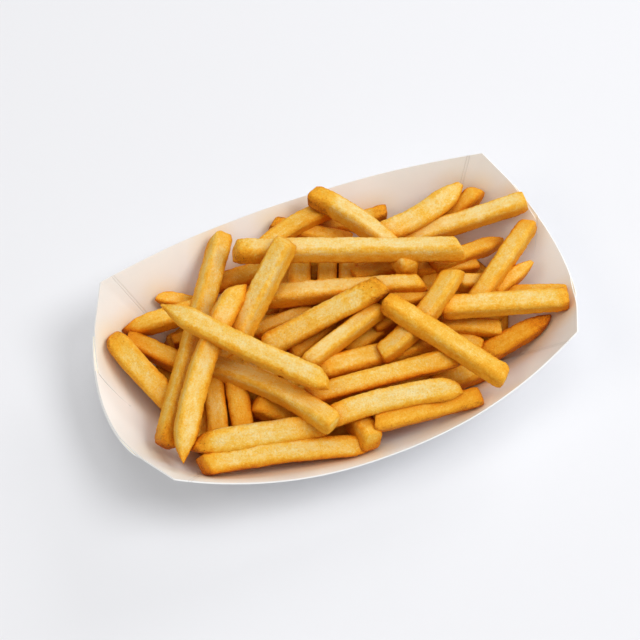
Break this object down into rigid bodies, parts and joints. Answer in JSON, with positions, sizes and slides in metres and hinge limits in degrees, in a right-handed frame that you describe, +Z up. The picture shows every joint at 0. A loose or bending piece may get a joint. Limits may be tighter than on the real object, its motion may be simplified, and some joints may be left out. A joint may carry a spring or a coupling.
{
  "type": "french fries in a paperboard tray",
  "caption": "Heap of golden french fries in an open boat-shaped tray of plain white paperboard, with flaring walls and high corners.",
  "frame": {"origin": "middle of the tray's flat bottom, on the surface it stands on", "axes": "+X along the tray's length, +Y across it, +Z up"},
  "size_m": [0.2034, 0.1252, 0.0589],
  "materials": {
    "paperboard": "matte white coated board, thin white cut edge",
    "fried_potato": "fried potato: pale golden faces, deeper golden edges and tips, slightly oily and finely blistered"
  },
  "bodies": {
    "root": {"tray": "paperboard", "fries": "fried_potato"}
  },
  "joints": []
}
